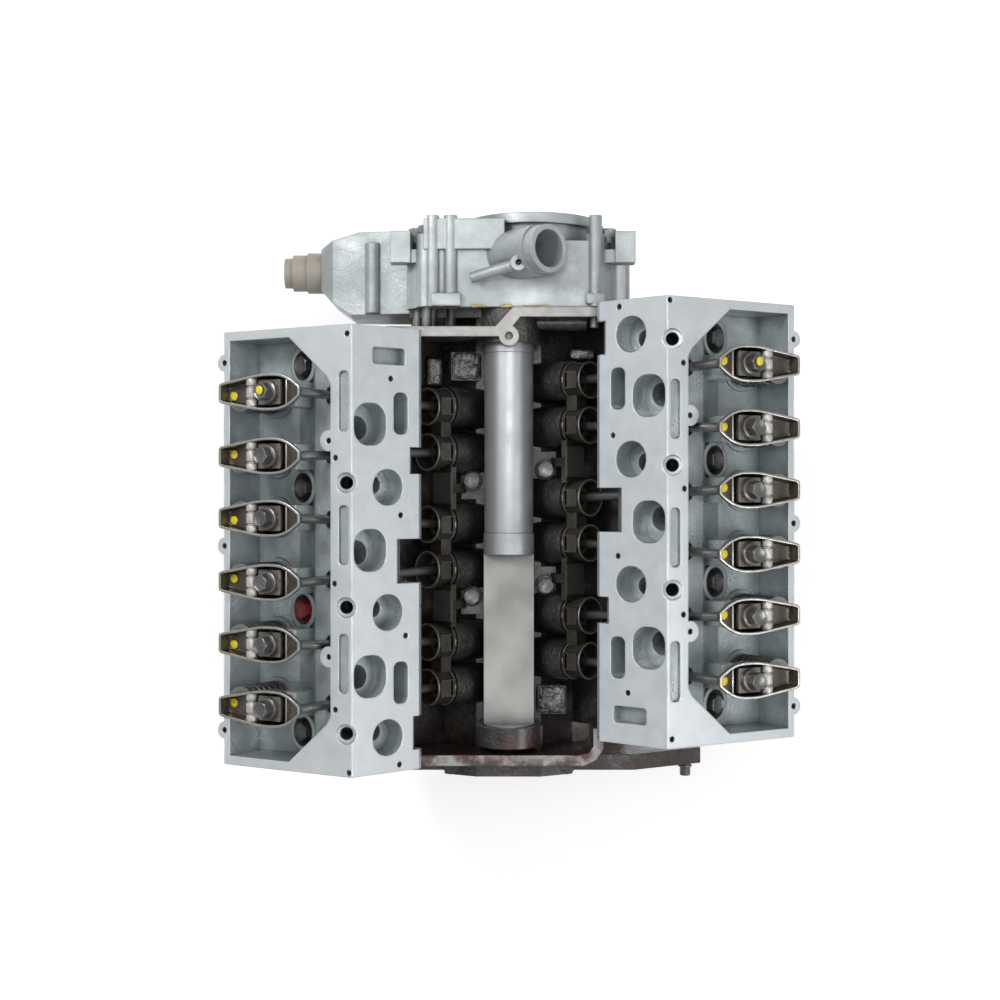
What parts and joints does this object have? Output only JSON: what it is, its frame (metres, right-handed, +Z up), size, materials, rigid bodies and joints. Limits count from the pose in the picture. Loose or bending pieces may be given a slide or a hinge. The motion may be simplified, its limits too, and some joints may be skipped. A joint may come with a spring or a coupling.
{
  "type": "car engine",
  "caption": "Pushrod V6 long block with open valley, balance shaft, roller lifters, exposed rockers and a deep front cover with a water outlet",
  "frame": {"origin": "centre of the crankshaft's rear flange face", "axes": "+Y to the front of the engine along the crankshaft, +X to the bank seen on the right of the picture, +Z up"},
  "size_m": [0.514, 0.56, 0.4653],
  "materials": {
    "cylinder_block": "dark painted iron, rough cast",
    "left_head": "cast aluminium with machined faces",
    "right_head": "cast aluminium with machined faces",
    "head_gaskets": "coated steel layers",
    "head_bolts": "dark steel",
    "front_cover": "cast, slightly blue-grey",
    "side_plug": "beige plastic",
    "cover_bolts": "zinc plated",
    "oil_pan": "black pressed steel",
    "main_bearing_caps": "bare iron",
    "rear_seal_retainer": "black",
    "rocker_fulcrums": "sintered steel",
    "rocker_bolts": "dark steel",
    "valve_springs": "spring steel",
    "lifter_guides": "brown phosphated steel",
    "guide_retainers": "phosphated plate with bright bolts",
    "timing_chain": "oiled steel",
    "connecting_rods": "forged",
    "pistons": "machined",
    "crankshaft": "forged with ground journals",
    "crank_sprocket": "oiled steel",
    "camshaft": "ground lobes",
    "cam_sprocket": "oiled steel",
    "balance_shaft": "machined, rear half as forged",
    "rocker": "stamped, brownish",
    "valve": "polished stem",
    "pushrod": "ground steel"
  },
  "bodies": {
    "engine_block": {"cylinder_block": "cylinder_block", "left_head": "left_head", "right_head": "right_head", "head_gaskets": "head_gaskets", "head_bolts": "head_bolts", "front_cover": "front_cover", "side_plug": "side_plug", "cover_bolts": "cover_bolts", "oil_pan": "oil_pan", "main_bearing_caps": "main_bearing_caps", "rear_seal_retainer": "rear_seal_retainer", "rocker_fulcrums": "rocker_fulcrums", "rocker_bolts": "rocker_bolts", "valve_springs": "valve_springs", "lifter_guides": "lifter_guides", "guide_retainers": "guide_retainers", "timing_chain": "timing_chain", "connecting_rods": "connecting_rods", "pistons": "pistons"},
    "crank": {"crankshaft": "crankshaft", "crank_sprocket": "crank_sprocket"},
    "cam": {"camshaft": "camshaft", "cam_sprocket": "cam_sprocket"},
    "balancer": {"balance_shaft": "balance_shaft"},
    "left_rocker_1_body": {"left_rocker_1": "rocker"},
    "left_valve_1_body": {"left_valve_1": "valve"},
    "left_pushrod_1_body": {"left_pushrod_1": "pushrod"},
    "left_rocker_2_body": {"left_rocker_2": "rocker"},
    "left_valve_2_body": {"left_valve_2": "valve"},
    "left_pushrod_2_body": {"left_pushrod_2": "pushrod"},
    "left_rocker_3_body": {"left_rocker_3": "rocker"},
    "left_valve_3_body": {"left_valve_3": "valve"},
    "left_pushrod_3_body": {"left_pushrod_3": "pushrod"},
    "left_rocker_4_body": {"left_rocker_4": "rocker"},
    "left_valve_4_body": {"left_valve_4": "valve"},
    "left_pushrod_4_body": {"left_pushrod_4": "pushrod"},
    "left_rocker_5_body": {"left_rocker_5": "rocker"},
    "left_valve_5_body": {"left_valve_5": "valve"},
    "left_pushrod_5_body": {"left_pushrod_5": "pushrod"},
    "left_rocker_6_body": {"left_rocker_6": "rocker"},
    "left_valve_6_body": {"left_valve_6": "valve"},
    "left_pushrod_6_body": {"left_pushrod_6": "pushrod"},
    "right_rocker_1_body": {"right_rocker_1": "rocker"},
    "right_valve_1_body": {"right_valve_1": "valve"},
    "right_pushrod_1_body": {"right_pushrod_1": "pushrod"},
    "right_rocker_2_body": {"right_rocker_2": "rocker"},
    "right_valve_2_body": {"right_valve_2": "valve"},
    "right_pushrod_2_body": {"right_pushrod_2": "pushrod"},
    "right_rocker_3_body": {"right_rocker_3": "rocker"},
    "right_valve_3_body": {"right_valve_3": "valve"},
    "right_pushrod_3_body": {"right_pushrod_3": "pushrod"},
    "right_rocker_4_body": {"right_rocker_4": "rocker"},
    "right_valve_4_body": {"right_valve_4": "valve"},
    "right_pushrod_4_body": {"right_pushrod_4": "pushrod"},
    "right_rocker_5_body": {"right_rocker_5": "rocker"},
    "right_valve_5_body": {"right_valve_5": "valve"},
    "right_pushrod_5_body": {"right_pushrod_5": "pushrod"},
    "right_rocker_6_body": {"right_rocker_6": "rocker"},
    "right_valve_6_body": {"right_valve_6": "valve"},
    "right_pushrod_6_body": {"right_pushrod_6": "pushrod"}
  },
  "joints": [
    {"name": "crank_turn", "type": "hinge", "parent": "engine_block", "child": "crank", "pos_m": [0, 0, 0], "axis": [0, -1, 0], "continuous": true, "deforming": ["connecting_rods", "timing_chain"]},
    {"name": "cam_turn", "type": "hinge", "parent": "engine_block", "child": "cam", "pos_m": [0, 0, 0.1337], "axis": [0, -1, 0], "continuous": true},
    {"name": "balancer_turn", "type": "hinge", "parent": "engine_block", "child": "balancer", "pos_m": [0, 0, 0.1957], "axis": [0, -1, 0], "continuous": true},
    {"name": "left_rocker_swing_1", "type": "hinge", "parent": "engine_block", "child": "left_rocker_1_body", "pos_m": [-0.20182, 0.368, 0.2956], "axis": [0, -1, 0], "range_deg": [0, 14.16]},
    {"name": "left_valve_slide_1", "type": "slide", "parent": "engine_block", "child": "left_valve_1_body", "axis": [0.5, 0, -0.866], "range_m": [0, 0.0106], "stiffness_N_per_m": 2200, "springref_m": -0.026, "deforming": ["valve_springs"]},
    {"name": "left_pushrod_slide_1", "type": "slide", "parent": "engine_block", "child": "left_pushrod_1_body", "axis": [-0.7238, 0, 0.6901], "range_m": [0, 0.00642]},
    {"name": "left_rocker_swing_2", "type": "hinge", "parent": "engine_block", "child": "left_rocker_2_body", "pos_m": [-0.20182, 0.314, 0.2956], "axis": [0, -1, 0], "range_deg": [0, 14.16]},
    {"name": "left_valve_slide_2", "type": "slide", "parent": "engine_block", "child": "left_valve_2_body", "axis": [0.5, 0, -0.866], "range_m": [0, 0.0106], "stiffness_N_per_m": 2200, "springref_m": -0.026},
    {"name": "left_pushrod_slide_2", "type": "slide", "parent": "engine_block", "child": "left_pushrod_2_body", "axis": [-0.7238, 0, 0.6901], "range_m": [0, 0.00642]},
    {"name": "left_rocker_swing_3", "type": "hinge", "parent": "engine_block", "child": "left_rocker_3_body", "pos_m": [-0.20182, 0.2615, 0.2956], "axis": [0, -1, 0], "range_deg": [0, 14.16]},
    {"name": "left_valve_slide_3", "type": "slide", "parent": "engine_block", "child": "left_valve_3_body", "axis": [0.5, 0, -0.866], "range_m": [0, 0.0106], "stiffness_N_per_m": 2200, "springref_m": -0.026},
    {"name": "left_pushrod_slide_3", "type": "slide", "parent": "engine_block", "child": "left_pushrod_3_body", "axis": [-0.7238, 0, 0.6901], "range_m": [0, 0.00642]},
    {"name": "left_rocker_swing_4", "type": "hinge", "parent": "engine_block", "child": "left_rocker_4_body", "pos_m": [-0.20182, 0.2075, 0.2956], "axis": [0, -1, 0], "range_deg": [0, 14.16]},
    {"name": "left_valve_slide_4", "type": "slide", "parent": "engine_block", "child": "left_valve_4_body", "axis": [0.5, 0, -0.866], "range_m": [0, 0.0106], "stiffness_N_per_m": 2200, "springref_m": -0.026},
    {"name": "left_pushrod_slide_4", "type": "slide", "parent": "engine_block", "child": "left_pushrod_4_body", "axis": [-0.7238, 0, 0.6901], "range_m": [0, 0.00642]},
    {"name": "left_rocker_swing_5", "type": "hinge", "parent": "engine_block", "child": "left_rocker_5_body", "pos_m": [-0.20182, 0.155, 0.2956], "axis": [0, -1, 0], "range_deg": [0, 14.16]},
    {"name": "left_valve_slide_5", "type": "slide", "parent": "engine_block", "child": "left_valve_5_body", "axis": [0.5, 0, -0.866], "range_m": [0, 0.0106], "stiffness_N_per_m": 2200, "springref_m": -0.026},
    {"name": "left_pushrod_slide_5", "type": "slide", "parent": "engine_block", "child": "left_pushrod_5_body", "axis": [-0.7238, 0, 0.6901], "range_m": [0, 0.00642]},
    {"name": "left_rocker_swing_6", "type": "hinge", "parent": "engine_block", "child": "left_rocker_6_body", "pos_m": [-0.20182, 0.101, 0.2956], "axis": [0, -1, 0], "range_deg": [0, 14.16]},
    {"name": "left_valve_slide_6", "type": "slide", "parent": "engine_block", "child": "left_valve_6_body", "axis": [0.5, 0, -0.866], "range_m": [0, 0.0106], "stiffness_N_per_m": 2200, "springref_m": -0.026},
    {"name": "left_pushrod_slide_6", "type": "slide", "parent": "engine_block", "child": "left_pushrod_6_body", "axis": [-0.7238, 0, 0.6901], "range_m": [0, 0.00642]},
    {"name": "right_rocker_swing_1", "type": "hinge", "parent": "engine_block", "child": "right_rocker_1_body", "pos_m": [0.20182, 0.392, 0.2956], "axis": [0, 1, 0], "range_deg": [0, 14.16]},
    {"name": "right_valve_slide_1", "type": "slide", "parent": "engine_block", "child": "right_valve_1_body", "axis": [-0.5, 0, -0.866], "range_m": [0, 0.0106], "stiffness_N_per_m": 2200, "springref_m": -0.026},
    {"name": "right_pushrod_slide_1", "type": "slide", "parent": "engine_block", "child": "right_pushrod_1_body", "axis": [0.7238, 0, 0.6901], "range_m": [0, 0.00642]},
    {"name": "right_rocker_swing_2", "type": "hinge", "parent": "engine_block", "child": "right_rocker_2_body", "pos_m": [0.20182, 0.338, 0.2956], "axis": [0, 1, 0], "range_deg": [0, 14.16]},
    {"name": "right_valve_slide_2", "type": "slide", "parent": "engine_block", "child": "right_valve_2_body", "axis": [-0.5, 0, -0.866], "range_m": [0, 0.0106], "stiffness_N_per_m": 2200, "springref_m": -0.026},
    {"name": "right_pushrod_slide_2", "type": "slide", "parent": "engine_block", "child": "right_pushrod_2_body", "axis": [0.7238, 0, 0.6901], "range_m": [0, 0.00642]},
    {"name": "right_rocker_swing_3", "type": "hinge", "parent": "engine_block", "child": "right_rocker_3_body", "pos_m": [0.20182, 0.2855, 0.2956], "axis": [0, 1, 0], "range_deg": [0, 14.16]},
    {"name": "right_valve_slide_3", "type": "slide", "parent": "engine_block", "child": "right_valve_3_body", "axis": [-0.5, 0, -0.866], "range_m": [0, 0.0106], "stiffness_N_per_m": 2200, "springref_m": -0.026},
    {"name": "right_pushrod_slide_3", "type": "slide", "parent": "engine_block", "child": "right_pushrod_3_body", "axis": [0.7238, 0, 0.6901], "range_m": [0, 0.00642]},
    {"name": "right_rocker_swing_4", "type": "hinge", "parent": "engine_block", "child": "right_rocker_4_body", "pos_m": [0.20182, 0.2315, 0.2956], "axis": [0, 1, 0], "range_deg": [0, 14.16]},
    {"name": "right_valve_slide_4", "type": "slide", "parent": "engine_block", "child": "right_valve_4_body", "axis": [-0.5, 0, -0.866], "range_m": [0, 0.0106], "stiffness_N_per_m": 2200, "springref_m": -0.026},
    {"name": "right_pushrod_slide_4", "type": "slide", "parent": "engine_block", "child": "right_pushrod_4_body", "axis": [0.7238, 0, 0.6901], "range_m": [0, 0.00642]},
    {"name": "right_rocker_swing_5", "type": "hinge", "parent": "engine_block", "child": "right_rocker_5_body", "pos_m": [0.20182, 0.179, 0.2956], "axis": [0, 1, 0], "range_deg": [0, 14.16]},
    {"name": "right_valve_slide_5", "type": "slide", "parent": "engine_block", "child": "right_valve_5_body", "axis": [-0.5, 0, -0.866], "range_m": [0, 0.0106], "stiffness_N_per_m": 2200, "springref_m": -0.026},
    {"name": "right_pushrod_slide_5", "type": "slide", "parent": "engine_block", "child": "right_pushrod_5_body", "axis": [0.7238, 0, 0.6901], "range_m": [0, 0.00642]},
    {"name": "right_rocker_swing_6", "type": "hinge", "parent": "engine_block", "child": "right_rocker_6_body", "pos_m": [0.20182, 0.125, 0.2956], "axis": [0, 1, 0], "range_deg": [0, 14.16]},
    {"name": "right_valve_slide_6", "type": "slide", "parent": "engine_block", "child": "right_valve_6_body", "axis": [-0.5, 0, -0.866], "range_m": [0, 0.0106], "stiffness_N_per_m": 2200, "springref_m": -0.026},
    {"name": "right_pushrod_slide_6", "type": "slide", "parent": "engine_block", "child": "right_pushrod_6_body", "axis": [0.7238, 0, 0.6901], "range_m": [0, 0.00642]}
  ],
  "couplings": [
    {"joint": "cam_turn", "follows": "crank_turn", "ratio": 0.5},
    {"joint": "balancer_turn", "follows": "crank_turn", "ratio": -1},
    {"joint": "left_rocker_swing_1", "follows": "left_valve_slide_1", "rad_per_m": 23.315},
    {"joint": "left_pushrod_slide_1", "follows": "left_valve_slide_1", "ratio": 0.6059},
    {"joint": "left_rocker_swing_2", "follows": "left_valve_slide_2", "rad_per_m": 23.315},
    {"joint": "left_pushrod_slide_2", "follows": "left_valve_slide_2", "ratio": 0.6059},
    {"joint": "left_rocker_swing_3", "follows": "left_valve_slide_3", "rad_per_m": 23.315},
    {"joint": "left_pushrod_slide_3", "follows": "left_valve_slide_3", "ratio": 0.6059},
    {"joint": "left_rocker_swing_4", "follows": "left_valve_slide_4", "rad_per_m": 23.315},
    {"joint": "left_pushrod_slide_4", "follows": "left_valve_slide_4", "ratio": 0.6059},
    {"joint": "left_rocker_swing_5", "follows": "left_valve_slide_5", "rad_per_m": 23.315},
    {"joint": "left_pushrod_slide_5", "follows": "left_valve_slide_5", "ratio": 0.6059},
    {"joint": "left_rocker_swing_6", "follows": "left_valve_slide_6", "rad_per_m": 23.315},
    {"joint": "left_pushrod_slide_6", "follows": "left_valve_slide_6", "ratio": 0.6059},
    {"joint": "right_rocker_swing_1", "follows": "right_valve_slide_1", "rad_per_m": 23.315},
    {"joint": "right_pushrod_slide_1", "follows": "right_valve_slide_1", "ratio": 0.6059},
    {"joint": "right_rocker_swing_2", "follows": "right_valve_slide_2", "rad_per_m": 23.315},
    {"joint": "right_pushrod_slide_2", "follows": "right_valve_slide_2", "ratio": 0.6059},
    {"joint": "right_rocker_swing_3", "follows": "right_valve_slide_3", "rad_per_m": 23.315},
    {"joint": "right_pushrod_slide_3", "follows": "right_valve_slide_3", "ratio": 0.6059},
    {"joint": "right_rocker_swing_4", "follows": "right_valve_slide_4", "rad_per_m": 23.315},
    {"joint": "right_pushrod_slide_4", "follows": "right_valve_slide_4", "ratio": 0.6059},
    {"joint": "right_rocker_swing_5", "follows": "right_valve_slide_5", "rad_per_m": 23.315},
    {"joint": "right_pushrod_slide_5", "follows": "right_valve_slide_5", "ratio": 0.6059},
    {"joint": "right_rocker_swing_6", "follows": "right_valve_slide_6", "rad_per_m": 23.315},
    {"joint": "right_pushrod_slide_6", "follows": "right_valve_slide_6", "ratio": 0.6059}
  ]
}
